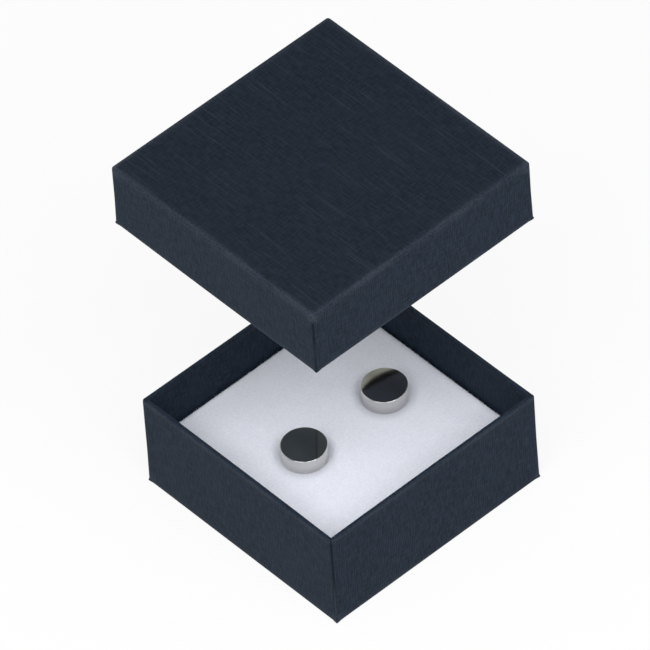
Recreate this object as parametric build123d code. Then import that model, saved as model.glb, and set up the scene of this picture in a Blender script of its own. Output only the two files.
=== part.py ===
from build123d import *
import os

os.makedirs("parts", exist_ok=True)

# Cardboard earring box: a square tray with a foam pad and a pair of disc studs,
# and a lid that drops over the tray. Tray and lid are each folded from
# greyboard, taped at the corners and covered with one sheet of paper that turns in
# over the rim. Millimetres, +Z up. The origin is the middle of the tray's underside,
# the sides lie along X and Y, and the front is -Y. The lid hangs straight above the
# tray, where it is shown lifted off.

# Tray
base_side = 52.0
base_height = 22.2

# Lid, sized from the tray that it drops over
lid_height = 14.8
lid_clearance = 0.15
lid_rest_height = 69.3

# Card and paper
board = 0.7
paper = 0.12
glue_room = 0.06
tape = 0.05
tape_leg = 7.0
tape_end_gap = 0.8
fold_slit = 0.2
corner_radius = 0.6
rim_radius = 0.4
foot_radius = 0.45
inner_corner_radius = 0.3
turn_in_gap = 0.5
turn_in_slit = 0.25
liner_gap = 0.3

# Foam pad
pad_top = 11.6
pad_clearance = 0.3
pad_seat_gap = 0.05
pad_corner_radius = 1.6
pad_edge_radius = 1.0
pad_ceiling = 5.2
pocket_diameter = 6.6
post_hole_clearance = 0.12

# Disc studs
disc_diameter = 9.0
disc_thickness = 3.3
disc_edge_chamfer = 0.15
disc_seat_gap = 0.05
stud_places = {"left": (-8.3, 1.0), "right": (12.6, 1.4)}
solder_cup_diameter = 3.0
solder_cup_depth = 0.5
flange_diameter = 2.6
flange_thickness = 0.45
post_diameter = 0.8
post_past_clutch = 1.4
post_tip_radius = 0.3
groove_depth = 0.12
groove_width = 0.4
groove_from_tip = 1.0

# Clutches, the butterfly backs on the posts
clutch_strip = 0.25
clutch_width = 3.0
clutch_scroll_radius = 0.8
clutch_grip_gap = 0.03
clutch_seat_gap = 0.05

# Worked out from the sizes above
wall = paper + glue_room + board + paper
floor_level = paper + glue_room + board
liner_top = floor_level + paper
inner_side = base_side - 2 * wall
lid_side = base_side + 2 * (lid_clearance + wall)
pad_side = inner_side - 2 * pad_clearance
pad_bottom = liner_top + pad_seat_gap
pocket_top = pad_top - pad_ceiling
disc_bottom = pad_top + disc_seat_gap
clutch_top = pocket_top - clutch_seat_gap
clutch_height = clutch_strip + 2 * clutch_scroll_radius
post_tip = clutch_top - clutch_height - post_past_clutch

CORNERS = {
    "front_left": (-1, -1),
    "front_right": (1, -1),
    "back_right": (1, 1),
    "back_left": (-1, 1),
}


def prism(side, radius, low, high):
    """A square block with round upright edges, from one height to another."""
    return extrude(Plane.XY.offset(low) * RectangleRounded(side, side, radius), amount=high - low)


def rounded_prism(side, radius, low, high, low_radius, high_radius):
    """A prism whose bottom and top edges are folded round."""
    block = prism(side, radius, low, high)
    block = fillet(block.faces().sort_by(Axis.Z)[0].edges(), low_radius)
    return fillet(block.faces().sort_by(Axis.Z)[-1].edges(), high_radius)


def eased_prism(side, radius, low, high):
    """A prism whose bottom and top edges are eased to stay inside the paper's folds."""
    block = prism(side, radius, low, high)
    block = chamfer(block.faces().sort_by(Axis.Z)[0].edges(), foot_radius / 2)
    return chamfer(block.faces().sort_by(Axis.Z)[-1].edges(), rim_radius / 2)


def diagonal_plate(sign_x, sign_y, side, thickness, low, high):
    """A thin upright plate along the diagonal of one corner."""
    reach = side / 4
    turn = 45 if sign_x == sign_y else -45
    place = Pos(sign_x * side / 2, sign_y * side / 2, (low + high) / 2)
    return place * Rot(0, 0, turn) * Box(reach, thickness, high - low)


# A tray, standing on its floor with its rim up, is four kinds of piece:
# the folded board, the corner tapes, the covering paper and the floor liner.


def folded_board(side, height):
    """Greyboard blank scored and folded up: the walls meet in open mitres at the corners."""
    skin = paper + glue_room
    inside = side - 2 * (skin + board)
    tray = eased_prism(side - 2 * skin, corner_radius - skin, skin, height - skin)
    tray -= prism(inside, inner_corner_radius, floor_level, height)
    for sign_x, sign_y in CORNERS.values():
        tray -= diagonal_plate(sign_x, sign_y, inside, fold_slit, floor_level, height)
    return tray


def corner_tapes(side, height):
    """Four strips of gummed tape, one round each upright corner of the board."""
    board_side = side - 2 * (paper + glue_room)
    board_radius = corner_radius - paper - glue_room
    low = foot_radius + tape_end_gap
    high = height - rim_radius - tape_end_gap
    ring = prism(board_side + 2 * tape, board_radius + tape, low, high)
    ring -= prism(board_side, board_radius, low, high)
    tapes = {}
    for name, (sign_x, sign_y) in CORNERS.items():
        corner = Pos(sign_x * side / 2, sign_y * side / 2, height / 2)
        tapes[name] = ring & (corner * Box(2 * tape_leg, 2 * tape_leg, 2 * height))
    return tapes


def covering_paper(side, height):
    """One sheet over the underside and walls, round the rim and down the inside."""
    sheet = rounded_prism(side, corner_radius, 0, height, foot_radius, rim_radius)
    sheet -= eased_prism(side - 2 * paper, corner_radius - paper, paper, height - paper)
    mouth = side - 2 * wall
    outer_radius = inner_corner_radius + paper
    sheet -= prism(mouth, inner_corner_radius, height / 2, height + paper)
    turn_in_low = floor_level + turn_in_gap
    turn_in = prism(mouth + 2 * paper, outer_radius, turn_in_low, height - paper / 2)
    turn_in -= prism(mouth, inner_corner_radius, turn_in_low, height)
    slit_high = height - rim_radius
    for sign_x, sign_y in CORNERS.values():
        turn_in -= diagonal_plate(sign_x, sign_y, mouth, turn_in_slit, turn_in_low, slit_high)
    return sheet + turn_in


def floor_liner(side):
    """A square of the same paper glued over the board inside."""
    liner_side = side - 2 * (wall + liner_gap)
    return prism(liner_side, inner_corner_radius, floor_level, liner_top)


def tray_pieces(name, side, height):
    """Every piece of one tray, by node name."""
    pieces = {
        f"{name}_board": folded_board(side, height),
        f"{name}_wrap": covering_paper(side, height),
        f"{name}_liner": floor_liner(side),
    }
    for corner, strip in corner_tapes(side, height).items():
        pieces[f"{name}_tape_{corner}"] = strip
    return pieces


def foam_pad():
    """Soft block that fills the tray, pierced for the posts, with a pocket under each stud."""
    pad = prism(pad_side, pad_corner_radius, pad_bottom, pad_top)
    pad = fillet(pad.faces().sort_by(Axis.Z)[-1].edges(), pad_edge_radius)
    hole_radius = post_diameter / 2 + post_hole_clearance
    for x, y in stud_places.values():
        pad -= Pos(x, y, (pad_bottom + pad_top) / 2) * Cylinder(hole_radius, 2 * pad_top)
        pocket_depth = pocket_top - pad_bottom
        pad -= Pos(x, y, pad_bottom + pocket_depth / 2) * Cylinder(pocket_diameter / 2, pocket_depth)
    return pad


# A stud is turned about its own axis at the origin and then set in the pad.


def stud_disc():
    """Thick polished disc, with a shallow cup in its back for the solder."""
    disc = Pos(0, 0, disc_bottom + disc_thickness / 2) * Cylinder(disc_diameter / 2, disc_thickness)
    disc = chamfer(disc.edges().filter_by(GeomType.CIRCLE), disc_edge_chamfer)
    cup = Pos(0, 0, disc_bottom + solder_cup_depth / 2)
    return disc - cup * Cylinder(solder_cup_diameter / 2, solder_cup_depth)


def stud_post():
    """Post with its flange in the disc's cup, a groove that the clutch clicks on and a round tip."""
    top = disc_bottom + solder_cup_depth
    neck = top - flange_thickness
    length = neck - post_tip
    flange = Pos(0, 0, top - flange_thickness / 2) * Cylinder(flange_diameter / 2, flange_thickness)
    pin = Pos(0, 0, post_tip + length / 2) * Cylinder(post_diameter / 2, length)
    pin = fillet(pin.faces().sort_by(Axis.Z)[0].edges(), post_tip_radius)
    groove = Pos(0, 0, post_tip + groove_from_tip)
    ring = groove * Cylinder(post_diameter, groove_width)
    ring -= groove * Cylinder(post_diameter / 2 - groove_depth, groove_width)
    return flange + (pin - ring)


def stud_clutch():
    """Butterfly back: a pierced strip whose two ends are rolled in to grip the post."""
    outer = clutch_scroll_radius + clutch_strip / 2
    inner = clutch_scroll_radius - clutch_strip / 2
    scroll_x = post_diameter / 2 + clutch_grip_gap + outer
    scroll_z = clutch_top - clutch_strip / 2 - clutch_scroll_radius
    strip_box = Box(2 * scroll_x, clutch_width, clutch_strip)
    clutch = Pos(0, 0, clutch_top - clutch_strip / 2) * strip_box
    for sign in (-1, 1):
        scroll = Rot(90, 0, 0) * (Cylinder(outer, clutch_width) - Cylinder(inner, clutch_width))
        opening = Pos(-sign * outer / 2, 0, outer / 2) * Box(outer, 2 * clutch_width, outer)
        clutch += Pos(sign * scroll_x, 0, scroll_z) * (scroll - opening)
    hole = Cylinder(post_diameter / 2 + post_hole_clearance, clutch_strip)
    return clutch - Pos(0, 0, clutch_top - clutch_strip / 2) * hole


parts = tray_pieces("base", base_side, base_height)
for node, piece in tray_pieces("lid", lid_side, lid_height).items():
    parts[node] = Pos(0, 0, lid_rest_height + lid_height) * Rot(180, 0, 0) * piece
parts["pad"] = foam_pad()
for hand, (stud_x, stud_y) in stud_places.items():
    parts[f"{hand}_disc"] = Pos(stud_x, stud_y, 0) * stud_disc()
    parts[f"{hand}_post"] = Pos(stud_x, stud_y, 0) * stud_post()
    parts[f"{hand}_clutch"] = Pos(stud_x, stud_y, 0) * stud_clutch()

for node, piece in parts.items():
    export_step(piece, f"parts/{node}.step")

lid_drop = lid_rest_height + lid_height - wall - base_height
print(f"{len(parts)} nodes, lid side {lid_side:.2f}, lid drop to the rim {lid_drop:.2f}")
print(f"post tip {post_tip:.2f}, room under the clutch {clutch_top - clutch_height - liner_top:.2f}")
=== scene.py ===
import logging
import math
from dataclasses import dataclass, replace
from enum import Enum
from functools import partial

import bmesh
import bpy
from bmesh.types import BMesh
from bpy.types import Material, Mesh, Node, NodeSocket, Object
from mathutils import Matrix, Vector, noise


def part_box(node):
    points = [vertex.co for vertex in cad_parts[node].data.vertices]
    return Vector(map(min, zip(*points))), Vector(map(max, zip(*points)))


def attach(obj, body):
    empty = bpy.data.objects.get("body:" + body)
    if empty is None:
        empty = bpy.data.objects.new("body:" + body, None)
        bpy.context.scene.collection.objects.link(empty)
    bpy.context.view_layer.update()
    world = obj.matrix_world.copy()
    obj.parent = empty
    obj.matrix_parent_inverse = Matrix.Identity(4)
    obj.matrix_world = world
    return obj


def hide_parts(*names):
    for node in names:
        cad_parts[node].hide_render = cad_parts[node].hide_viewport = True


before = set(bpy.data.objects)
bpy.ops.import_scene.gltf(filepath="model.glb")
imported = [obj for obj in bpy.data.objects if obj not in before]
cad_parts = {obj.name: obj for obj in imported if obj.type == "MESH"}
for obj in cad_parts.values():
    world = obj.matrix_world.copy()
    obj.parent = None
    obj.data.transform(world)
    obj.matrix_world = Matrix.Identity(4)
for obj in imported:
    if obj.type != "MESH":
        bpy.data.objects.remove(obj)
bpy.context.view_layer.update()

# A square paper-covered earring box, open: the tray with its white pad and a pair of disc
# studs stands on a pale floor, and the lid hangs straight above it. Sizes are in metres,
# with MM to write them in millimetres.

MM = 0.001
LOG = logging.getLogger("earring_box")
WHITE = (1.0, 1.0, 1.0, 1.0)
BLACK = (0.0, 0.0, 0.0)

Colour = tuple[float, float, float]
Scale = tuple[float, float, float]
Span = tuple[float, float]
Place = tuple[float, float]
Steps = tuple[tuple[float, float], ...]
Profile = list["ProfilePoint"]


class Opening(Enum):
    """Which way the rim of a folded tray faces."""

    UP = 1
    DOWN = -1


class Sheet(Enum):
    """How a face of the covering paper takes its grain: as a flat panel or as a wall."""

    FLAT = "flat"
    WALL = "wall"


def add_node(
    tree: bpy.types.NodeTree, kind: str, settings: dict | None = None, inputs: dict | None = None
) -> Node:
    """Add a node to a tree.

    Args:
        tree: The tree.
        kind: The node's type.
        settings: Attributes of the node itself.
        inputs: Values or output sockets by input name or number.

    Returns:
        The new node.
    """
    node = tree.nodes.new(kind)
    for key, value in (settings or {}).items():
        setattr(node, key, value)
    for key, value in (inputs or {}).items():
        if isinstance(value, NodeSocket):
            tree.links.new(value, node.inputs[key])
        else:
            node.inputs[key].default_value = value
    return node


class ShaderNodes:
    """The nodes of a material or world, with short calls that add them and link them."""

    def __init__(self, owner: bpy.types.ID, output: str) -> None:
        """Empty the owner's node tree and give it its output.

        Args:
            owner: The material or world.
            output: The output node's type, without its ShaderNode prefix.
        """
        owner.use_nodes = True
        self.owner = owner
        self.tree = owner.node_tree
        self.tree.nodes.clear()
        self.output = self.add(output)

    def add(self, kind: str, settings: dict | None = None, inputs: dict | None = None) -> Node:
        """Add a node whose type is given without its ShaderNode prefix."""
        return add_node(self.tree, "ShaderNode" + kind, settings, inputs)

    def maths(self, operation: str, first: object, second: object = 0.0) -> NodeSocket:
        """Add a Math node and return its output."""
        return self.add("Math", {"operation": operation}, {0: first, 1: second}).outputs[0]

    def scaled(self, value: NodeSocket, share: float) -> NodeSocket:
        """Return a value times a number."""
        return self.maths("MULTIPLY", value, share)

    def mix(self, factor: object, first: object, second: object) -> NodeSocket:
        """Add a colour Mix node.

        Args:
            factor: Share of the second colour, a number or a socket.
            first: Colour or socket at factor 0.
            second: Colour or socket at factor 1.

        Returns:
            The mixed colour's socket.
        """
        inputs = {0: factor}
        for index, value in ((6, first), (7, second)):
            inputs[index] = value if isinstance(value, NodeSocket) else (*value, 1.0)
        return self.add("Mix", {"data_type": "RGBA"}, inputs).outputs[2]

    def ramp(self, factor: NodeSocket, low: float, high: float) -> NodeSocket:
        """Stretch a value so that low becomes 0 and high becomes 1, smoothly and clamped."""
        inputs = {"Value": factor, "From Min": low, "From Max": high}
        return self.add("MapRange", {"interpolation_type": "SMOOTHSTEP"}, inputs).outputs[0]

    def grain(self, vector: NodeSocket, scale: Scale, detail: float = 2.0) -> NodeSocket:
        """Noise stretched differently along each axis.

        Args:
            vector: Coordinates in metres.
            scale: Features per metre along each axis.
            detail: The noise's detail.

        Returns:
            The noise value's socket, about 0.5 on average.
        """
        place = self.add("Mapping", None, {"Vector": vector, "Scale": scale}).outputs[0]
        return self.add("TexNoise", None, {"Vector": place, "Scale": 1.0, "Detail": detail}).outputs[0]

    def attribute(self, name: str) -> NodeSocket:
        """Return a mesh attribute's value."""
        return self.add("Attribute", {"attribute_name": name}).outputs["Fac"]

    def object_place(self) -> NodeSocket:
        """Return the place on the object, in metres."""
        return self.add("TexCoord").outputs["Object"]

    def relief(self, height: NodeSocket, strength: float, depth: float) -> NodeSocket:
        """Return the normal of a bump of this strength and depth."""
        inputs = {"Height": height, "Strength": strength, "Distance": depth}
        return self.add("Bump", None, inputs).outputs[0]

    def seen_white(self) -> NodeSocket:
        """Add a mask that is 1 for rays from the camera, a mirror or glass."""
        path = self.add("LightPath").outputs
        mirror = self.maths("MAXIMUM", path["Is Glossy Ray"], path["Is Transmission Ray"])
        return self.maths("MAXIMUM", path["Is Camera Ray"], mirror)

    def finish(self, shader: Node) -> bpy.types.ID:
        """Link the shader to the output and return the material or world."""
        self.tree.links.new(shader.outputs[0], self.output.inputs["Surface"])
        return self.owner

    def principled(self, inputs: dict) -> Material:
        """Finish the material with one Principled shader that has these inputs."""
        return self.finish(self.add("BsdfPrincipled", None, inputs))


def new_material(name: str) -> ShaderNodes:
    """Start a new material."""
    return ShaderNodes(bpy.data.materials.new(name), "OutputMaterial")


@dataclass(frozen=True)
class LinenPaper:
    """Navy covering paper with an embossed linen grain, rubbed paler along its folds, and paler along the
    rim's outer edge partly as a painted highlight; its flat panels are darkened as painted shade.

    A span is the stretch of a noise's value over which a feature fades in, and a share is
    how much of its colour or height the feature then adds.
    """

    name: str = "covering_paper"
    valley: Colour = (0.0052, 0.0104, 0.0192)
    crest: Colour = (0.0155, 0.0270, 0.0465)
    thread: Colour = (0.0420, 0.0560, 0.0780)
    rubbed: Colour = (0.0470, 0.0540, 0.0700)
    crease: Colour = (0.0015, 0.0025, 0.0050)
    # The share of colour that flat panels keep under their painted shade.
    painted_shade_panel_tone: float = 0.60
    warp_pitch: float = 0.36 * MM
    warp_run: float = 2.6 * MM
    warp_share: float = 0.52
    weft_pitch: float = 0.40 * MM
    weft_run: float = 1.8 * MM
    weave_span: Span = (0.36, 0.66)
    rib_pitch: float = 0.44 * MM
    rib_wobble: float = 0.35 * MM
    rib_span: Span = (0.35, 0.62)
    rib_share: float = 0.10
    slub_pitch: float = 0.50 * MM
    slub_run: float = 15.0 * MM
    slub_span: Span = (0.57, 0.80)
    slub_share: float = 0.10
    slub_share_on_panel: float = 0.36
    patch_scale: Scale = (90.0, 90.0, 1.0)
    patch_span: Span = (0.35, 0.75)
    patch_share: float = 0.16
    speck_scale: Scale = (2600.0, 2600.0, 1.0)
    speck_height: float = 0.25
    worn_patches: float = 0.6
    worn_span: Span = (0.62, 0.98)
    worn_share: float = 0.75
    worn_least: float = 0.12
    roughness: float = 0.68
    specular: float = 0.12
    emboss: float = 0.05 * MM
    emboss_strength: float = 0.9

    def woven(self, m: ShaderNodes, warp: NodeSocket, weft: NodeSocket) -> NodeSocket:
        """Return the height of warp and weft together."""
        return m.maths("ADD", m.scaled(warp, self.warp_share), m.scaled(weft, 1 - self.warp_share))

    def embossed(self, m: ShaderNodes, tone: NodeSocket, height: NodeSocket) -> Material:
        """Finish the material with this colour and this height of its grain."""
        inputs = {
            "Base Color": tone,
            "Roughness": self.roughness,
            "Specular IOR Level": self.specular,
            "Normal": m.relief(height, self.emboss_strength, self.emboss),
        }
        return m.principled(inputs)

    def build(self) -> Material:
        """Make the material from the sheet's UV map and its wear, seam and panel attributes."""
        m = new_material(self.name)
        uv = m.add("UVMap", {"uv_map": "sheet"}).outputs[0]
        warp = m.grain(uv, (1 / self.warp_pitch, 1 / self.warp_run, 1.0), 3.0)
        weft = m.grain(uv, (1 / self.weft_run, 1 / self.weft_pitch, 1.0), 3.0)
        patch = m.grain(uv, self.patch_scale, 3.0)
        speck = m.grain(uv, self.speck_scale, 2.0)
        across = m.add("SeparateXYZ", None, {0: uv}).outputs[0]
        place = m.maths("ADD", across, m.scaled(warp, self.rib_wobble))
        wave = m.maths("SINE", m.scaled(place, 2 * math.pi / self.rib_pitch))
        ribs = m.maths("MULTIPLY", wave, m.scaled(m.ramp(patch, *self.rib_span), self.rib_share))
        threads = m.maths("ADD", self.woven(m, warp, weft), ribs)
        tone = m.mix(m.ramp(threads, *self.weave_span), self.valley, self.crest)
        tone = m.mix(m.scaled(m.ramp(patch, *self.patch_span), self.patch_share), tone, self.crest)
        panel = m.attribute("panel")
        slub = m.ramp(m.grain(uv, (1 / self.slub_pitch, 1 / self.slub_run, 1.0), 1.0), *self.slub_span)
        share = m.maths("ADD", m.scaled(panel, self.slub_share_on_panel), self.slub_share)
        tone = m.mix(m.maths("MULTIPLY", slub, share), tone, self.thread)
        # Painted shade: the flat panels are darkened towards black, so the lid's top reads darker than its
        # walls.
        tone = m.mix(m.scaled(panel, 1 - self.painted_shade_panel_tone), tone, BLACK)
        broken = m.ramp(m.maths("ADD", speck, m.scaled(patch, self.worn_patches)), *self.worn_span)
        worn = m.maths("ADD", m.scaled(broken, self.worn_share), self.worn_least)
        # The paler rubbed colour follows the wear mask; on the rim's outer edge it is partly a painted
        # highlight.
        tone = m.mix(m.maths("MULTIPLY", m.attribute("wear"), worn), tone, self.rubbed)
        tone = m.mix(m.attribute("seam"), tone, self.crease)
        return self.embossed(m, tone, m.maths("ADD", threads, m.scaled(speck, self.speck_height)))


@dataclass(frozen=True)
class PlainPaper(LinenPaper):
    """The liners' paper, the same navy woven on Object coordinates, because they have no UV map."""

    name: str = "liner_paper"
    valley: Colour = (0.0050, 0.0090, 0.0160)
    crest: Colour = (0.0110, 0.0190, 0.0320)
    warp_share: float = 0.62
    warp_scale: Scale = (3300.0, 200.0, 200.0)
    weft_scale: Scale = (330.0, 2900.0, 200.0)

    def build(self) -> Material:
        """Make the material on Object coordinates."""
        m = new_material(self.name)
        place = m.object_place()
        warp = m.grain(place, self.warp_scale, 3.0)
        threads = self.woven(m, warp, m.grain(place, self.weft_scale, 3.0))
        tone = m.mix(m.ramp(threads, *self.weave_span), self.valley, self.crest)
        return self.embossed(m, tone, threads)


@dataclass(frozen=True)
class FibreBoard:
    """Plain board or tape whose flecks and fibres show."""

    name: str
    colour: Colour
    fleck: Colour
    fibres_per_metre: float = 1500.0
    fibre_stretch: float = 6.0
    fibre_span: Span = (0.55, 0.75)
    cloud_scale: Scale = (180.0, 180.0, 180.0)
    cloud_share: float = 0.25
    roughness: float = 0.9
    relief: float = 0.03 * MM
    relief_strength: float = 0.6

    def build(self) -> Material:
        """Make the material on Object coordinates."""
        m = new_material(self.name)
        place = m.object_place()
        fine = self.fibres_per_metre
        fibre = m.grain(place, (fine, fine / self.fibre_stretch, fine))
        cloud = m.grain(place, self.cloud_scale, 4.0)
        tone = m.mix(m.ramp(fibre, *self.fibre_span), self.colour, self.fleck)
        inputs = {
            "Base Color": m.mix(m.scaled(cloud, self.cloud_share), tone, self.fleck),
            "Roughness": self.roughness,
            "Normal": m.relief(fibre, self.relief_strength, self.relief),
        }
        return m.principled(inputs)


@dataclass(frozen=True)
class FlockedFoam:
    """Soft white foam skin with a short nap, painted greyer round each stud as a contact shadow."""

    name: str
    colour: Colour = (0.85, 0.875, 0.95)
    hollow: Colour = (0.78, 0.805, 0.895)
    # The painted contact shadow's colour and share.
    painted_contact_shade: Colour = (0.50, 0.52, 0.58)
    painted_contact_shade_share: float = 0.8
    nap_scale: Scale = (2400.0, 2400.0, 2400.0)
    nap_span: Span = (0.3, 0.7)
    cloud_scale: Scale = (120.0, 160.0, 120.0)
    cloud_span: Span = (0.3, 0.75)
    cloud_share: float = 0.3
    sheen: float = 0.25
    sheen_roughness: float = 0.6
    specular: float = 0.2
    roughness: float = 0.95
    relief: float = 0.08 * MM
    relief_strength: float = 0.35

    def build(self) -> Material:
        """Make the material on Object coordinates."""
        m = new_material(self.name)
        place = m.object_place()
        nap = m.grain(place, self.nap_scale, 4.0)
        cloud = m.ramp(m.grain(place, self.cloud_scale, 3.0), *self.cloud_span)
        tone = m.mix(m.ramp(nap, *self.nap_span), self.hollow, self.colour)
        tone = m.mix(m.scaled(cloud, self.cloud_share), tone, self.colour)
        # Painted shade: a grey contact shadow round each stud, from the mesh's mask.
        painted_contact_shade = m.scaled(m.attribute("painted_contact_shade"), self.painted_contact_shade_share)
        inputs = {
            "Base Color": m.mix(painted_contact_shade, tone, self.painted_contact_shade),
            "Roughness": self.roughness,
            "Sheen Weight": self.sheen,
            "Sheen Roughness": self.sheen_roughness,
            "Specular IOR Level": self.specular,
            "Normal": m.relief(nap, self.relief_strength, self.relief),
        }
        return m.principled(inputs)


@dataclass(frozen=True)
class Steel:
    """Bare steel, from a mirror polish to drawn wire."""

    name: str
    colour: Colour
    roughness: float
    brushing: float
    brush_scale: Scale
    smear_scale: Scale = (260.0, 260.0, 260.0)
    smear_span: Span = (0.35, 0.8)
    smear_share: float = 0.5
    relief: float = 0.01 * MM

    def build(self) -> Material:
        """Make the material on Object coordinates."""
        m = new_material(self.name)
        place = m.object_place()
        lines = m.grain(place, self.brush_scale, 3.0)
        smear = m.ramp(m.grain(place, self.smear_scale, 2.0), *self.smear_span)
        smeared = m.scaled(smear, self.brushing * self.smear_share)
        uneven = m.maths("ADD", m.scaled(lines, self.brushing), smeared)
        inputs = {
            "Base Color": (*self.colour, 1.0),
            "Metallic": 1.0,
            "Roughness": m.maths("ADD", uneven, self.roughness),
            "Normal": m.relief(lines, self.brushing, self.relief),
        }
        return m.principled(inputs)


@dataclass(frozen=True)
class ProfilePoint:
    """One loop of a folded tray: how far in from the outer wall, how high, and what it is."""

    inset: float
    height: float
    wear: float = 0.0
    sheet: Sheet = Sheet.WALL


def spread(low: float, high: float, count: int) -> list[float]:
    """Return count values from low to high, both included."""
    return [low + (high - low) * i / (count - 1) for i in range(count)]


QUARTER_TURN = spread(0, math.pi / 2, 6)


def smooth_step(low: float, high: float, value: float) -> float:
    """Return 0 below low, 1 above high and a smooth blend between them."""
    share = min(1.0, max(0.0, (value - low) / (high - low)))
    return share * share * (3 - 2 * share)


def direction(azimuth: float, elevation: float) -> Vector:
    """Return the direction from the box to a place, from its angles in degrees."""
    a, e = math.radians(azimuth), math.radians(elevation)
    return Vector((math.sin(a) * math.cos(e), -math.cos(a) * math.cos(e), math.sin(e)))


def plan_centre(node: str) -> Vector:
    """Return the middle of a node in plan."""
    low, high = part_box(node)
    return Vector(((low[0] + high[0]) / 2, (low[1] + high[1]) / 2))


def new_piece(name: str, mesh: Mesh, material: Material) -> Object:
    """Put a mesh in the scene as an object at the origin.

    Args:
        name: The piece's name.
        mesh: Its mesh, already in place.
        material: Its only material.

    Returns:
        The new object.
    """
    mesh.name = name
    mesh.materials.clear()
    mesh.materials.append(material)
    piece = bpy.data.objects.new(name, mesh)
    bpy.context.scene.collection.objects.link(piece)
    LOG.info("%s: %d faces", name, len(mesh.polygons))
    return piece


def join_loops(work: BMesh, rows: list) -> None:
    """Join each loop of vertices to the next with a band of faces.

    Args:
        work: The working mesh.
        rows: The loops, with the same number of vertices each.
    """
    for row, following in zip(rows, rows[1:]):
        for i in range(len(row)):
            k = (i + 1) % len(row)
            work.faces.new((row[i], row[k], following[k], following[i]))


def mesh_from(work: BMesh, smooth: bool = True) -> Mesh:
    """Turn a working mesh into a finished one, and free it.

    Args:
        work: The working mesh.
        smooth: Whether its faces shade smoothly.

    Returns:
        The mesh, with its faces pointing outwards.
    """
    bmesh.ops.recalc_face_normals(work, faces=work.faces)
    for face in work.faces:
        face.smooth = smooth
    mesh = bpy.data.meshes.new("piece")
    work.to_mesh(mesh)
    work.free()
    return mesh


def evaluated_mesh(piece: Object) -> Mesh:
    """Return a plain mesh of a piece with its modifiers applied."""
    graph = bpy.context.evaluated_depsgraph_get()
    return bpy.data.meshes.new_from_object(piece.evaluated_get(graph), depsgraph=graph)


def dress(node: str, material: Material) -> None:
    """Give a carried-over CAD node its material."""
    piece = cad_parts[node]
    for held in piece.material_slots:
        held.material = material
    if not piece.material_slots:
        piece.data.materials.append(material)


@dataclass(frozen=True)
class SquareLoop:
    """The outline of a square with round corners, walked anticlockwise from its front left corner.

    Every loop of one piece has the same number of points, so that loops join point to point.
    """

    corner_steps: int = 6
    side_steps: int = 14
    near_corner: float = 0.7 * MM
    near_share: float = 0.1
    least_corner: float = 0.15

    def sized(self, half: float) -> "SquareLoop":
        """Return the loop for a smaller square, whose first steps from a corner fit its side."""
        return replace(self, near_corner=min(self.near_corner, half * self.near_share))

    def points(self, half: float, radius: float) -> list[tuple[float, float, float]]:
        """Place the loop's points.

        Args:
            half: Half of the square's side.
            radius: Its corner radius.

        Returns:
            (x, y, how near the middle of a corner from 0 to 1) of each point.
        """
        out = []
        reach = half - radius
        first, second = self.near_corner, 3 * self.near_corner
        inner = spread(second, 2 * reach - second, self.side_steps)
        for quarter, (sign_x, sign_y) in enumerate(((-1, -1), (1, -1), (1, 1), (-1, 1))):
            turn = math.radians(180 + 90 * quarter)
            corner = Vector((sign_x * reach, sign_y * reach))
            for i in range(self.corner_steps + 1):
                share = i / self.corner_steps
                angle = turn + share * math.pi / 2
                x = corner.x + radius * math.cos(angle)
                y = corner.y + radius * math.sin(angle)
                out.append((x, y, max(1 - abs(2 * share - 1), self.least_corner)))
            start, along = Vector((x, y)), Vector((-math.sin(angle), math.cos(angle)))
            for step in (first, *inner, 2 * reach - first):
                out.append((*(start + along * step), 0.0))
        return out


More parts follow.
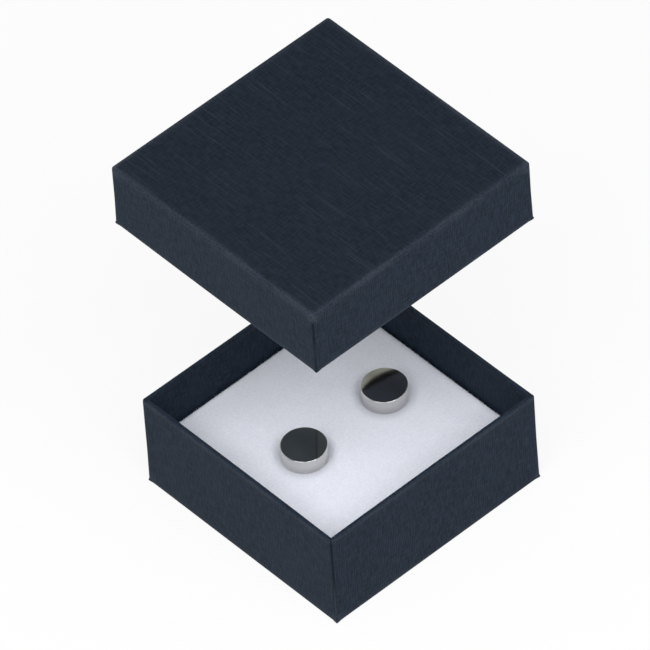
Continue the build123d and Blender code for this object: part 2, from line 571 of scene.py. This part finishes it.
@dataclass
class PaperCover:
    """The sheet of paper round a folded board tray, with its rim, turn-in and corner seams.

    The profile is written for a tray whose rim faces up, and is turned over for the lid.
    Steps beside a fold are pairs of a distance from it in millimetres and the wear there.
    """

    node: str
    name: str
    body: str
    opening: Opening
    wall: float = 1.0 * MM
    paper: float = 0.12 * MM
    corner_radius: float = 0.6 * MM
    least_radius: float = 0.14 * MM
    foot_radius: float = 0.45 * MM
    rim_radius: float = 0.42 * MM
    inner_rim_radius: float = 0.22 * MM
    floor_level: float = 0.88 * MM
    turn_in_gap: float = 0.5 * MM
    bow: float = 0.10 * MM
    ripple: float = 0.035 * MM
    wall_waves_per_metre: tuple[float, float] = (130.0, 90.0)
    rim_waves_per_metre: float = 90.0
    rim_dip: float = 0.6
    seam_depth: float = 0.03 * MM
    seam_tone: float = 0.95
    notch: float = 0.10 * MM
    tip: float = 0.42 * MM
    tip_height: float = 1.0 * MM
    tip_share_beside_corner: float = 0.3
    fold_patch: float = 2.0 * MM
    corner_wear: float = 0.3
    foot_wear: float = 0.6
    rim_wear_and_painted_highlight: float = 0.75
    inner_rim_wear: float = 0.1
    floor_rings: tuple[float, ...] = (0.97, 0.85, 0.68, 0.5, 0.34, 0.2, 0.1)
    hidden_floor_rings: tuple[float, ...] = (0.5, 0.97)
    before_foot: Steps = ((1.6, 0.0), (0.7, 0.12), (0.25, 0.5))
    after_foot: Steps = ((0.25, 0.5), (0.8, 0.1), (2.0, 0.0))
    before_rim: Steps = ((1.4, 0.0), (0.6, 0.12), (0.2, 0.5))
    after_rim: Steps = ((0.3, 0.3), (1.0, 0.0))
    plain_wall_from: float = 4.0 * MM
    plain_wall_to: float = 3.0 * MM
    plain_wall_loops: int = 5
    seed: float = 3.0

    def profile(self, height: float, half: float) -> Profile:
        """List the loops from the middle of the underside, round the rim and back inside.

        Args:
            height: The tray's height.
            half: Half of its side.

        Returns:
            The profile's points in order.
        """
        foot, rim, inner = self.foot_radius, self.rim_radius, self.inner_rim_radius
        paper, low, hidden = self.paper, self.floor_level + self.turn_in_gap, self.wall - self.paper
        first, last = foot + self.plain_wall_from, height - rim - self.plain_wall_to
        plain = spread(first, last, self.plain_wall_loops)
        out = [ProfilePoint(half * share, 0.0, 0.0, Sheet.FLAT) for share in self.floor_rings]
        out += [ProfilePoint(foot + step * MM, 0.0, wear, Sheet.FLAT) for step, wear in self.before_foot]
        for a in QUARTER_TURN:
            out.append(ProfilePoint(foot * (1 - math.sin(a)), foot * (1 - math.cos(a)), self.foot_wear))
        out += [ProfilePoint(0.0, foot + step * MM, wear) for step, wear in self.after_foot]
        out += [ProfilePoint(0.0, z) for z in plain]
        out += [ProfilePoint(0.0, height - rim - step * MM, wear) for step, wear in self.before_rim]
        # Along the rim's outer edge the paler colour is partly worn paper and partly a painted highlight.
        for a in QUARTER_TURN:
            z = height - rim * (1 - math.sin(a))
            out.append(ProfilePoint(rim * (1 - math.cos(a)), z, self.rim_wear_and_painted_highlight * math.cos(a)))
        for a in QUARTER_TURN:
            inset = self.wall - inner * (1 - math.sin(a))
            out.append(ProfilePoint(inset, height - inner * (1 - math.cos(a)), self.inner_rim_wear))
        out += [ProfilePoint(self.wall, height - rim - step * MM, wear) for step, wear in self.after_rim]
        plain_inside = spread(height - self.plain_wall_from, low, self.plain_wall_loops)
        out += [ProfilePoint(self.wall, z) for z in plain_inside]
        out += [ProfilePoint(hidden, low), ProfilePoint(hidden, height - rim)]
        out += [ProfilePoint(hidden - paper, height - paper), ProfilePoint(2 * paper, height - paper)]
        out += [ProfilePoint(paper, height - rim), ProfilePoint(paper, foot)]
        out.append(ProfilePoint(foot, paper, 0.0, Sheet.FLAT))
        out += [ProfilePoint(half * share, paper, 0.0, Sheet.FLAT) for share in self.hidden_floor_rings]
        return out

    def unevenness(self, x: float, y: float, z: float, half: float, height: float) -> float:
        """How far a hand-folded wall stands off its true plane at a place.

        Args:
            x, y, z: The place, from the middle of the floor.
            half: Half of the side.
            height: The tray's height.

        Returns:
            The distance outwards: up to about bow plus ripple on the lid, and as far inwards on the tray.
        """
        across, up = self.wall_waves_per_metre
        along = max(0.0, 1 - (min(abs(x), abs(y)) / half) ** 2)
        bowed = self.bow * along * smooth_step(0.1, 0.9, z / height)
        wave = noise.noise(Vector((x * across + self.seed, y * across, z * up))) * 0.5 + 0.5
        depth = bowed + self.ripple * wave * smooth_step(0.0, 1 * MM, z)
        return -depth if self.opening is Opening.UP else depth

    def corner_step(self, corner: float, point: ProfilePoint, height: float) -> float:
        """How far a corner's paper stands out: a groove at its seam, and thicker folds at its low end.

        Args:
            corner: How near the middle of the corner the point is, from 0 to 1.
            point: The loop's profile point.
            height: The tray's height.

        Returns:
            The distance, outwards.
        """
        if point.inset > self.rim_radius or corner == 0.0:
            return 0.0
        end = point.height if self.opening is Opening.UP else height - point.height
        share = self.tip_share_beside_corner
        out = self.tip * (share + (1 - share) * corner) * (1 - smooth_step(0.0, self.tip_height, end))
        return out - self.seam_depth if corner >= 0.99 else out

    def rim_shift(self, x: float, y: float, corner: float, z: float, height: float) -> float:
        """How far the rim lies off its true height: dips along the walls, and a notch at each corner.

        Args:
            x, y: The place.
            corner: How near the middle of the corner the point is, from 0 to 1.
            z: The loop's height.
            height: The tray's height.

        Returns:
            The distance upwards, 0 below the rim.
        """
        if z <= height - self.rim_radius * 1.01:
            return 0.0
        waves = self.rim_waves_per_metre
        dip = self.ripple * (noise.noise(Vector((x * waves, y * waves, self.seed))) - self.rim_dip)
        return dip - self.notch * smooth_step(0.5, 1.0, corner)

    @staticmethod
    def face_normal(x: float, y: float) -> Vector:
        """Outward direction of the wall that a point of the outline is on."""
        if abs(x) > abs(y):
            return Vector((math.copysign(1.0, x), 0.0))
        return Vector((0.0, math.copysign(1.0, y)))

    def row(
        self, work: BMesh, layers: dict, point: ProfilePoint, half: float, height: float
    ) -> list[bmesh.types.BMVert]:
        """Add one loop of the paper with its wear, seam and panel values.

        Args:
            work: The working mesh.
            layers: The three vertex layers by name.
            point: The loop's profile point.
            half: Half of the tray's side.
            height: The tray's height.

        Returns:
            The loop's vertices.
        """
        size = half - point.inset
        radius = min(max(self.corner_radius - point.inset, self.least_radius), size * 0.5)
        on_wall = point.sheet is Sheet.WALL
        outer_skin = point.inset <= self.rim_radius or point.height <= 0.0
        on_fold = outer_skin and point.height < self.foot_radius + self.fold_patch * 0.5
        out = []
        for x, y, corner in SquareLoop().sized(size).points(size, radius):
            at = Vector((x, y))
            if on_wall:
                towards = at.normalized() if corner else self.face_normal(x, y)
                off = self.unevenness(x, y, point.height, half, height)
                at += towards * (off + self.corner_step(corner, point, height))
            z = point.height + self.rim_shift(x, y, corner, point.height, height)
            vertex = work.verts.new((at.x, at.y, z))
            from_corner = math.hypot(half - abs(x), half - abs(y))
            folded = 1 - smooth_step(self.fold_patch * 0.4, self.fold_patch, from_corner)
            worn_corner = corner * self.corner_wear if on_wall and outer_skin else 0.0
            seam = self.seam_tone * smooth_step(0.3, 0.9, corner)
            vertex[layers["wear"]] = max(point.wear, worn_corner, folded if on_fold else 0.0)
            vertex[layers["seam"]] = seam if on_wall and not on_fold else 0.0
            # Flat sheets are marked so that the paper's material darkens them as painted shade.
            vertex[layers["panel"]] = 0.0 if on_wall else 1.0
            out.append(vertex)
        return out

    def join_rows(
        self, work: BMesh, rows: list, profile: Profile, half: float, uv: bmesh.types.BMLayerItem
    ) -> None:
        """Join loops into faces, with the grain along X and Y on flats and upright on walls.

        Args:
            work: The working mesh.
            rows: Vertices of each loop.
            profile: The loops' profile points.
            half: Half of the tray's side.
            uv: The UV layer to fill.
        """
        outline = SquareLoop().points(half, self.corner_radius)
        around, up = [0.0], [0.0]
        for a, b in zip(outline, [*outline[1:], outline[0]]):
            around.append(around[-1] + math.hypot(b[0] - a[0], b[1] - a[1]))
        for a, b in zip(profile, profile[1:]):
            up.append(up[-1] + math.hypot(b.inset - a.inset, b.height - a.height))
        join_loops(work, rows)
        work.faces.ensure_lookup_table()
        count = len(outline)
        for j in range(len(rows) - 1):
            flat = profile[j].sheet is Sheet.FLAT and profile[j + 1].sheet is Sheet.FLAT
            for i in range(count):
                walls = (
                    (around[i], up[j]),
                    (around[i + 1], up[j]),
                    (around[i + 1], up[j + 1]),
                    (around[i], up[j + 1]),
                )
                for corner, wall_uv in zip(work.faces[j * count + i].loops, walls):
                    corner[uv].uv = corner.vert.co.xy if flat else wall_uv

    @staticmethod
    def close_middle(work: BMesh, row: list, z: float, uv: bmesh.types.BMLayerItem) -> None:
        """Close a loop with a fan to its middle.

        Args:
            work: The working mesh.
            row: The loop's vertices.
            z: The middle's height.
            uv: The UV layer to fill.
        """
        middle = work.verts.new((0.0, 0.0, z))
        for i, vertex in enumerate(row):
            face = work.faces.new((vertex, row[(i + 1) % len(row)], middle))
            for corner in face.loops:
                corner[uv].uv = corner.vert.co.xy

    def build(self, material: Material) -> Object:
        """Make the paper and put it in the node's place.

        Args:
            material: The covering paper's finish.

        Returns:
            The finished piece, riding on its body.
        """
        low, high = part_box(self.node)
        half, height = (high[0] - low[0]) / 2, high[2] - low[2]
        work = bmesh.new()
        layers = {name: work.verts.layers.float.new(name) for name in ("wear", "seam", "panel")}
        uv = work.loops.layers.uv.new("sheet")
        profile = self.profile(height, half)
        rows = [self.row(work, layers, point, half, height) for point in profile]
        self.join_rows(work, rows, profile, half, uv)
        for end in (0, -1):
            self.close_middle(work, rows[end], profile[end].height, uv)
        for vertex in work.verts:
            turned = self.opening is Opening.DOWN
            vertex.co.z = high[2] - vertex.co.z if turned else low[2] + vertex.co.z
        piece = new_piece(self.name, mesh_from(work), material)
        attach(piece, self.body)
        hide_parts(self.node)
        return piece


@dataclass(frozen=True)
class FlockTree:
    """Geometry Nodes tree that stands short tapered hairs on a surface."""

    name: str = "flock"
    per_square_mm: float = 7.0
    length: float = 0.34 * MM
    radius: float = 0.022 * MM
    lean: float = 0.9
    spin: float = 3.0
    shortest: float = 0.5
    longest: float = 1.2
    sides: int = 3
    seed: int = 11

    def tree(self) -> bpy.types.NodeTree:
        """Build the tree with named inputs for its sizes."""
        group = bpy.data.node_groups.new(self.name, "GeometryNodeTree")
        face = group.interface
        face.new_socket("Surface", in_out="INPUT", socket_type="NodeSocketGeometry")
        for name in ("Hairs per square metre", "Hair length", "Hair radius", "Lean"):
            face.new_socket(name, in_out="INPUT", socket_type="NodeSocketFloat")
        face.new_socket("Seed", in_out="INPUT", socket_type="NodeSocketInt")
        face.new_socket("Finish", in_out="INPUT", socket_type="NodeSocketMaterial")
        face.new_socket("Hairs", in_out="OUTPUT", socket_type="NodeSocketGeometry")
        add = partial(add_node, group)
        given = add("NodeGroupInput").outputs
        seed = given["Seed"]
        nap = add("GeometryNodeInputNamedAttribute", {"data_type": "FLOAT"}, {"Name": "nap"})
        places = {0: given["Hairs per square metre"], 1: nap.outputs["Attribute"]}
        density = add("ShaderNodeMath", {"operation": "MULTIPLY"}, places).outputs[0]
        places = {"Mesh": given["Surface"], "Density": density, "Seed": seed}
        scatter = add("GeometryNodeDistributePointsOnFaces", None, places).outputs
        sizes = {"Vertices": self.sides, "Radius Top": 0.0}
        sizes |= {"Radius Bottom": given["Hair radius"], "Depth": given["Hair length"]}
        hair = add("GeometryNodeMeshCone", {"fill_type": "NONE"}, sizes)
        bounds = {"Seed": seed}
        for index, sign in enumerate((-1.0, 1.0)):
            inputs = {0: (sign, sign, sign * self.spin), "Scale": given["Lean"]}
            bounds[index] = add("ShaderNodeVectorMath", {"operation": "SCALE"}, inputs).outputs[0]
        tilt = add("FunctionNodeRandomValue", {"data_type": "FLOAT_VECTOR"}, bounds)
        turn = add("FunctionNodeEulerToRotation", None, {0: tilt.outputs[0]})
        turns = {0: scatter["Rotation"], 1: turn.outputs[0]}
        lean = add("FunctionNodeRotateRotation", {"rotation_space": "LOCAL"}, turns)
        lengths = {2: self.shortest, 3: self.longest, "Seed": seed}
        grow = add("FunctionNodeRandomValue", {"data_type": "FLOAT"}, lengths)
        stands = {"Points": scatter["Points"], "Instance": hair.outputs["Mesh"]}
        stands |= {"Rotation": lean.outputs[0], "Scale": grow.outputs[1]}
        stand = add("GeometryNodeInstanceOnPoints", None, stands)
        real = add("GeometryNodeRealizeInstances", None, {0: stand.outputs[0]})
        finish = {"Geometry": real.outputs[0], "Material": given["Finish"]}
        paint = add("GeometryNodeSetMaterial", None, finish)
        add("NodeGroupOutput", None, {0: paint.outputs[0]})
        return group

    def grow_on(self, surface: Object, material: Material) -> Mesh:
        """Grow the hairs and return them as a plain mesh, with the modifier removed.

        Args:
            surface: The object that the hairs stand on.
            material: The hairs' finish.

        Returns:
            The hairs' mesh.
        """
        group = self.tree()
        modifier = surface.modifiers.new(self.name, "NODES")
        modifier.node_group = group
        values = {
            "Hairs per square metre": self.per_square_mm / MM**2,
            "Hair length": self.length,
            "Hair radius": self.radius,
            "Lean": self.lean,
            "Seed": self.seed,
            "Finish": material,
        }
        for item in group.interface.items_tree:
            if item.in_out == "INPUT" and item.name in values:
                modifier[item.identifier] = values[item.name]
        mesh = evaluated_mesh(surface)
        surface.modifiers.remove(modifier)
        return mesh


@dataclass
class FoamPad:
    """The white pad: a soft block with eased edges, sunk a little under each stud, with a painted contact
    shadow round each one.
    """

    node: str = "pad"
    name: str = "foam_pad"
    studs: tuple[str, str] = ("left_disc", "right_disc")
    corner_radius: float = 1.6 * MM
    corner_ease: float = 0.3
    least_radius: float = 0.3 * MM
    edge_radius: float = 0.8 * MM
    low_edge: float = 0.25 * MM
    waist: float = 0.12 * MM
    rise: float = 0.22 * MM
    crown_span: Span = (0.55, 1.0)
    crown_fall: float = 0.8
    undulation: float = 0.16 * MM
    waves_per_metre: tuple[float, float] = (110.0, 310.0)
    lifted_within: float = 0.3 * MM
    marked_within: float = 0.5 * MM
    dimple_inner: float = 4.4 * MM
    dimple_outer: float = 7.5 * MM
    # The painted contact shadow's reach round each stud; the outer reach also sets where the nap thickens.
    contact_shade_inner: float = 3.4 * MM
    contact_shade_and_nap_outer: float = 7.2 * MM
    contact_shade_under: float = 0.3
    bare_rim: float = 0.2 * MM
    underside_rings: tuple[float, ...] = (0.97, 0.6, 0.3, 0.1)
    side_shares: tuple[float, ...] = (0.2, 0.4, 0.6, 0.8)
    ring_step: float = 0.6 * MM
    side_steps: int = 70
    pocket_radius: float = 3.3 * MM
    pocket_ceiling: float = 5.2 * MM
    hole_radius: float = 0.52 * MM
    cut_sides: int = 48
    cut_angle: float = math.radians(50)

    def places(self, half: float, bottom: float, top: float) -> list[Place]:
        """List the pad's loops from the middle of its underside to the middle of its top.

        Args:
            half: Half of the pad's side.
            bottom, top: Heights of its two faces.

        Returns:
            (how far in from the side, height) of each loop.
        """
        edge = self.edge_radius
        out = [(half * share, bottom) for share in self.underside_rings]
        out += [(self.low_edge, bottom), (0.0, bottom + self.low_edge)]
        for share in self.side_shares:
            out.append((self.waist * math.sin(math.pi * share), bottom + (top - bottom) * share))
        out += [(edge * (1 - math.cos(a)), top - edge * (1 - math.sin(a))) for a in QUARTER_TURN]
        rings = int((half - edge) / self.ring_step)
        out += [(edge + self.ring_step * i, top) for i in range(1, rings)]
        return out

    def surface(self, x: float, y: float, half: float, near: float) -> float:
        """Height of the foam above its flat top at a place.

        Args:
            x, y: The place.
            half: Half of the pad's side.
            near: Distance to the nearest stud's middle.

        Returns:
            The height, which is 0 under a stud.
        """
        free = smooth_step(self.dimple_inner, self.dimple_outer, near)
        crown = 1 - smooth_step(*self.crown_span, max(abs(x), abs(y)) / half) * self.crown_fall
        slow, fast = self.waves_per_metre
        wave = noise.noise(Vector((x * slow, y * slow, 2.0)))
        wave += 0.5 * noise.noise(Vector((x * fast, y * fast, 7.0)))
        return free * (self.rise * crown + self.undulation * wave)

    def skin(self, half: float, bottom: float, top: float, centres: list[Vector]) -> Mesh:
        """Make the closed pad, with its painted contact shadow round each stud and how thick its nap
        stands.

        Args:
            half: Half of the pad's side.
            bottom, top: Heights of its two faces.
            centres: The studs' places.

        Returns:
            The pad's mesh, before it is pierced.
        """
        loop = SquareLoop(side_steps=self.side_steps)
        work = bmesh.new()
        nap_layer = work.verts.layers.float.new("nap")
        contact_shade_layer = work.verts.layers.float.new("painted_contact_shade")
        rows = []
        for inset, z in self.places(half, bottom, top):
            size = half - inset
            eased = self.corner_radius - inset * self.corner_ease
            radius = min(max(eased, self.least_radius), size * 0.5)
            row = []
            for x, y, _ in loop.sized(size).points(size, radius):
                near = min((Vector((x, y)) - centre).length for centre in centres)
                lift = self.surface(x, y, half, near) if z > top - self.lifted_within else 0.0
                vertex = work.verts.new((x, y, z + lift))
                if z > top - self.marked_within:
                    # Painted shade: a grey contact shadow round each stud, fullest at its edge, weaker
                    # right under it, fading outwards; the same nearness also thickens the nap.
                    close = 1 - smooth_step(self.dimple_inner, self.contact_shade_and_nap_outer, near)
                    rubbed = smooth_step(self.contact_shade_inner, self.dimple_inner, near)
                    under = self.contact_shade_under + (1 - self.contact_shade_under) * rubbed
                    vertex[contact_shade_layer] = close * close * under
                    clear = near > self.dimple_inner + self.bare_rim
                    vertex[nap_layer] = 1 + 2 * close if clear else 0.0
                row.append(vertex)
            rows.append(row)
        join_loops(work, rows)
        for row in (rows[0], rows[-1]):
            middle = work.verts.new(sum((v.co for v in row), Vector()) / len(row))
            middle[nap_layer] = row[0][nap_layer]
            for i, vertex in enumerate(row):
                work.faces.new((vertex, row[(i + 1) % len(row)], middle))
        return mesh_from(work)

    def build(self, foam: Material, nap: Material) -> list[Object]:
        """Make the pad and its nap.

        Args:
            foam: Finish of the pad's skin.
            nap: Finish of the short hairs on it.

        Returns:
            The pad and the nap, both riding on the pad's body.
        """
        low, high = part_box(self.node)
        centres = [plan_centre(node) for node in self.studs]
        skin = self.skin((high[0] - low[0]) / 2, low[2], high[2], centres)
        pad = new_piece(self.name, skin, foam)
        hairs = new_piece("foam_nap", FlockTree().grow_on(pad, nap), nap)
        self.pierce(pad, centres, low[2], high[2])
        for piece in (pad, hairs):
            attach(piece, "pad")
        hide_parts(self.node)
        return [pad, hairs]

    def pierce(self, pad: Object, centres: list[Vector], bottom: float, top: float) -> None:
        """Cut the pockets for the clutches and the holes for the posts.

        Args:
            pad: The closed pad.
            centres: The studs' places.
            bottom, top: Heights of the pad's two faces.
        """
        pocket_top = top - self.pocket_ceiling
        pocket = (self.pocket_radius, bottom - 1 * MM, pocket_top)
        hole = (self.hole_radius, pocket_top - 0.5 * MM, top + 2 * MM)
        work = bmesh.new()
        for centre in centres:
            for radius, low, high in (pocket, hole):
                bmesh.ops.create_cone(
                    work,
                    cap_ends=True,
                    segments=self.cut_sides,
                    radius1=radius,
                    radius2=radius,
                    depth=high - low,
                    matrix=Matrix.Translation((centre.x, centre.y, (low + high) / 2)),
                )
        cutter = new_piece("pad_cutter", mesh_from(work), pad.data.materials[0])
        modifier = pad.modifiers.new("pierce", "BOOLEAN")
        modifier.operation = "DIFFERENCE"
        modifier.solver = "EXACT"
        modifier.use_self = True
        modifier.object = cutter
        closed, pad.data = pad.data, evaluated_mesh(pad)
        pad.modifiers.remove(modifier)
        bpy.data.meshes.remove(closed)
        bpy.data.objects.remove(cutter)
        pad.data.name = self.name
        pad.data.set_sharp_from_angle(angle=self.cut_angle)


@dataclass
class StudDisc:
    """A thick polished disc, turned in a lathe, with the solder cup in its back."""

    node: str
    body: str
    cup_radius: float = 1.5 * MM
    cup_depth: float = 0.5 * MM
    edge_radius: float = 0.11 * MM
    segments: int = 160
    flat_from: float = 0.999

    def outline(self, radius: float, low: float, high: float) -> list[Place]:
        """List the turned outline, from the cup round the side to the top's edge.

        Args:
            radius: The disc's radius.
            low, high: Heights of its two faces.

        Returns:
            (radius, height) of each point.
        """
        edge = self.edge_radius
        out = [(self.cup_radius, low + self.cup_depth), (self.cup_radius, low)]
        out += [(radius - edge * (1 - math.sin(a)), low + edge * (1 - math.cos(a))) for a in QUARTER_TURN]
        out.append((radius, (low + high) / 2))
        out += [(radius - edge * (1 - math.cos(a)), high - edge * (1 - math.sin(a))) for a in QUARTER_TURN]
        return out

    def build(self, material: Material) -> Object:
        """Turn the disc's outline round its axis.

        Args:
            material: The polished steel.

        Returns:
            The finished disc, riding on its stud's body.
        """
        low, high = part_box(self.node)
        x, y = (low[0] + high[0]) / 2, (low[1] + high[1]) / 2
        turns = [2 * math.pi * i / self.segments for i in range(self.segments)]
        work = bmesh.new()
        rows = []
        for r, z in self.outline((high[0] - low[0]) / 2, low[2], high[2]):
            around = [(x + r * math.cos(turn), y + r * math.sin(turn), z) for turn in turns]
            rows.append([work.verts.new(at) for at in around])
        join_loops(work, rows)
        work.faces.new(rows[0])
        work.faces.new(rows[-1])
        mesh = mesh_from(work)
        for face in mesh.polygons:
            face.use_smooth = abs(face.normal.z) < self.flat_from
        piece = new_piece(self.node.replace("disc", "polished_disc"), mesh, material)
        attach(piece, self.body)
        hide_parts(self.node)
        return piece


@dataclass(frozen=True)
class HiddenParts:
    """The pieces inside: board, tapes, liners, posts and clutches, carried over as they are."""

    corners: tuple[str, ...] = ("front_left", "front_right", "back_right", "back_left")

    def dress(self, paper: Material) -> None:
        """Give each its finish.

        Args:
            paper: The liners' paper.
        """
        board = FibreBoard("greyboard", (0.30, 0.29, 0.26), (0.16, 0.15, 0.14)).build()
        tape = FibreBoard("corner_tape", (0.45, 0.34, 0.20), (0.33, 0.23, 0.12), 2500.0).build()
        wire = Steel("steel_pin", (0.62, 0.61, 0.60), 0.16, 0.14, (300.0, 300.0, 9000.0)).build()
        spring = Steel("spring_steel", (0.58, 0.58, 0.57), 0.22, 0.18, (9000.0, 500.0, 9000.0)).build()
        for box_part in ("base", "lid"):
            dress(f"{box_part}_board", board)
            dress(f"{box_part}_liner", paper)
            for corner in self.corners:
                dress(f"{box_part}_tape_{corner}", tape)
        for hand in ("left", "right"):
            dress(f"{hand}_post", wire)
            dress(f"{hand}_clutch", spring)


@dataclass(frozen=True)
class MirroredPanel:
    """A flat glowing panel over the box that only mirror rays see, with a plain clouded colour: it paints
    a reflection into the polished discs.
    """

    name: str
    colour: Colour
    outline: list[Place]
    above: float = 0.0
    cloud_scale: Scale = (160.0, 60.0, 1.0)
    cloud_span: Span = (0.3, 0.7)
    cloud_depth: float = 0.2

    def build(self, origin: Vector, height: float) -> None:
        """Hang the panel.

        Args:
            origin: Where the middle of the left disc sees the panels, in plan.
            height: How high the panels hang.
        """
        m = new_material(self.name)
        cloud = m.ramp(m.grain(m.object_place(), self.cloud_scale, 3.0), *self.cloud_span)
        dark, pale = (tuple(c * (1 + sign * self.cloud_depth) for c in self.colour) for sign in (-1, 1))
        glow = m.add("Emission", None, {"Color": m.mix(cloud, dark, pale), "Strength": 1.0})
        work = bmesh.new()
        z = height + self.above
        corners = [(origin.x + x * MM, origin.y + y * MM, z) for x, y in self.outline]
        work.faces.new([work.verts.new(at) for at in corners])
        piece = new_piece(self.name, mesh_from(work, smooth=False), m.finish(glow))
        piece.visible_camera = False
        piece.visible_diffuse = False
        piece.visible_shadow = False
        piece.visible_transmission = False


@dataclass(frozen=True)
class Studio:
    """Floor, world, lamps, the glowing panels that paint reflections into the polished discs, and the
    camera.
    """

    focal_px: float = 12000.0
    picture_px: float = 650.0
    sensor_mm: float = 36.0
    azimuth: float = -39.646
    elevation: float = 46.249
    roll: float = 4.424
    camera_place: tuple[float, float, float] = (-0.97987, -1.18036, 1.64435)
    clip: Span = (0.05, 20.0)
    floor_white: Colour = (0.88, 0.88, 0.88)
    floor_half: float = 3.0
    floor_gap: float = 0.02 * MM
    shadow_share: float = 0.12
    world_level: float = 0.36
    lamp_azimuths: tuple[float, float] = (-70.0, -10.0)
    lamp_elevation: float = 55.0
    lamp_distance: float = 0.8
    lamp_side: float = 0.45
    lamp_watts: float = 3.0
    panel_height: float = 0.120
    arch_steps: int = 13

    def camera(self) -> None:
        """Place the camera where the photograph was taken from."""
        data = bpy.data.cameras.new("camera")
        data.sensor_width = self.sensor_mm
        data.lens = self.sensor_mm * self.focal_px / self.picture_px
        data.clip_start, data.clip_end = self.clip
        back, roll = direction(self.azimuth, self.elevation), math.radians(self.roll)
        right = (-back).cross(Vector((0, 0, 1))).normalized()
        down = (-back).cross(right)
        turned_right = right * math.cos(roll) + down * math.sin(roll)
        turned_down = down * math.cos(roll) - right * math.sin(roll)
        pose = Matrix((turned_right, -turned_down, back)).transposed().to_4x4()
        pose.translation = Vector(self.camera_place)
        camera = bpy.data.objects.new("camera", data)
        camera.matrix_world = pose
        bpy.context.scene.collection.objects.link(camera)
        bpy.context.scene.camera = camera

    def floor(self) -> None:
        """Lay a plain pale floor that keeps the object's shadow."""
        m = new_material("studio_floor")
        mask = m.scaled(m.seen_white(), 1 - self.shadow_share)
        plain = m.add("BsdfDiffuse", None, {"Color": (*self.floor_white, 1.0)})
        white = m.add("Emission", None, {"Color": WHITE, "Strength": 1.0})
        both = m.add("MixShader", None, {0: mask, 1: plain.outputs[0], 2: white.outputs[0]})
        work = bmesh.new()
        place = Matrix.Translation((0, 0, -self.floor_gap))
        bmesh.ops.create_grid(work, x_segments=1, y_segments=1, size=self.floor_half, matrix=place)
        piece = new_piece("studio_floor", mesh_from(work, smooth=False), m.finish(both))

    def world(self) -> None:
        """Light the scene softly from all round, with a white background."""
        world = bpy.data.worlds.new("studio")
        bpy.context.scene.world = world
        w = ShaderNodes(world, "OutputWorld")
        level = w.add("Background", None, {"Color": WHITE, "Strength": self.world_level})
        white = w.add("Background", None, {"Color": WHITE})
        w.finish(w.add("MixShader", None, {0: w.seen_white(), 1: level.outputs[0], 2: white.outputs[0]}))

    def lamp(self, name: str, azimuth: float) -> None:
        """Hang a square soft lamp that faces the box.

        Args:
            name: The lamp's name.
            azimuth: Where it stands, in degrees, as for the camera.
        """
        data = bpy.data.lights.new(name, "AREA")
        data.energy, data.size = self.lamp_watts, self.lamp_side
        back = direction(azimuth, self.lamp_elevation)
        lamp = bpy.data.objects.new(name, data)
        lamp.location = back * self.lamp_distance
        lamp.rotation_mode = "QUATERNION"
        lamp.rotation_quaternion = back.to_track_quat("Z", "Y")
        bpy.context.scene.collection.objects.link(lamp)

    def arch(self, start: Place, end: Place, rise: float) -> list[Place]:
        """Return places along a shallow arch.

        Args:
            start, end: Its two ends.
            rise: How far its middle bows towards +Y.

        Returns:
            The places in order, both ends included.
        """
        out = []
        for share in spread(0.0, 1.0, self.arch_steps):
            x = start[0] + (end[0] - start[0]) * share
            y = start[1] + (end[1] - start[1]) * share + 4 * rise * share * (1 - share)
            out.append((x, y))
        return out

    def panels(self) -> None:
        """Hang the panels, whose corners are in millimetres from where the left disc sees them.

        The left disc mirrors slate and smoke with a thin dark line between them, and the right
        disc mirrors blue and grey with a dark band between them that bows and tapers.
        """
        joint = (9.0, 1.93)
        backing = [(-14, -14), (34, -14), (34, 16), (-14, 16)]
        slate = [(-14, -14), (-9.95, -14), (6.03, 3.33), (-14, 7.7)]
        smoke = [(-9.70, -14), (9.0, -14), joint, (5.5, 2.5)]
        blue = [(9.0, -14), (34, -14), (34, -2.6), *self.arch((28.9, -1.58), (15.9, 0.82), 0.55), joint]
        grey = [(-14, 7.7), *self.arch((15.9, 1.18), (26.9, -0.06), 1.6), (34, -1.4), (34, 16), (-14, 16)]
        view = direction(self.azimuth, self.elevation)
        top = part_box("left_disc")[1][2]
        origin = plan_centre("left_disc") - view.xy * ((self.panel_height - top) / view.z)
        for panel in (
            MirroredPanel("black_panel", (0.004, 0.004, 0.005), backing, above=1 * MM),
            MirroredPanel("slate_panel", (0.056, 0.069, 0.081), slate),
            MirroredPanel("smoke_panel", (0.070, 0.078, 0.084), smoke),
            MirroredPanel("blue_panel", (0.034, 0.040, 0.052), blue),
            MirroredPanel("grey_panel", (0.31, 0.32, 0.28), grey),
        ):
            panel.build(origin, self.panel_height)

    def build(self) -> None:
        """Set up the whole studio."""
        self.camera()
        self.floor()
        self.world()
        for name, azimuth in zip(("front_left_lamp", "front_right_lamp"), self.lamp_azimuths):
            self.lamp(name, azimuth)
        self.panels()
        bpy.context.scene.view_settings.view_transform = "Standard"


def main() -> None:
    """Build the studio and every piece of the box."""
    logging.basicConfig(level=logging.INFO, format="%(message)s")
    Studio().build()
    paper = LinenPaper().build()
    tray = PaperCover("base_wrap", "tray_paper", "base", Opening.UP)
    lid_folds = {"bow": 0.045 * MM, "ripple": 0.03 * MM, "seed": 8.0}
    lid = PaperCover("lid_wrap", "lid_paper", "lid", Opening.DOWN, **lid_folds)
    for cover in (tray, lid):
        cover.build(paper)
    nap = FlockedFoam("foam_nap", (0.80, 0.82, 0.90))
    FoamPad().build(FlockedFoam("foam").build(), nap.build())
    polish = Steel("polished_steel", (0.60, 0.59, 0.575), 0.024, 0.012, (200.0, 200.0, 3000.0)).build()
    for hand in ("left", "right"):
        StudDisc(f"{hand}_disc", f"{hand}_stud").build(polish)
    HiddenParts().dress(PlainPaper().build())


if __name__ == "__main__":
    main()
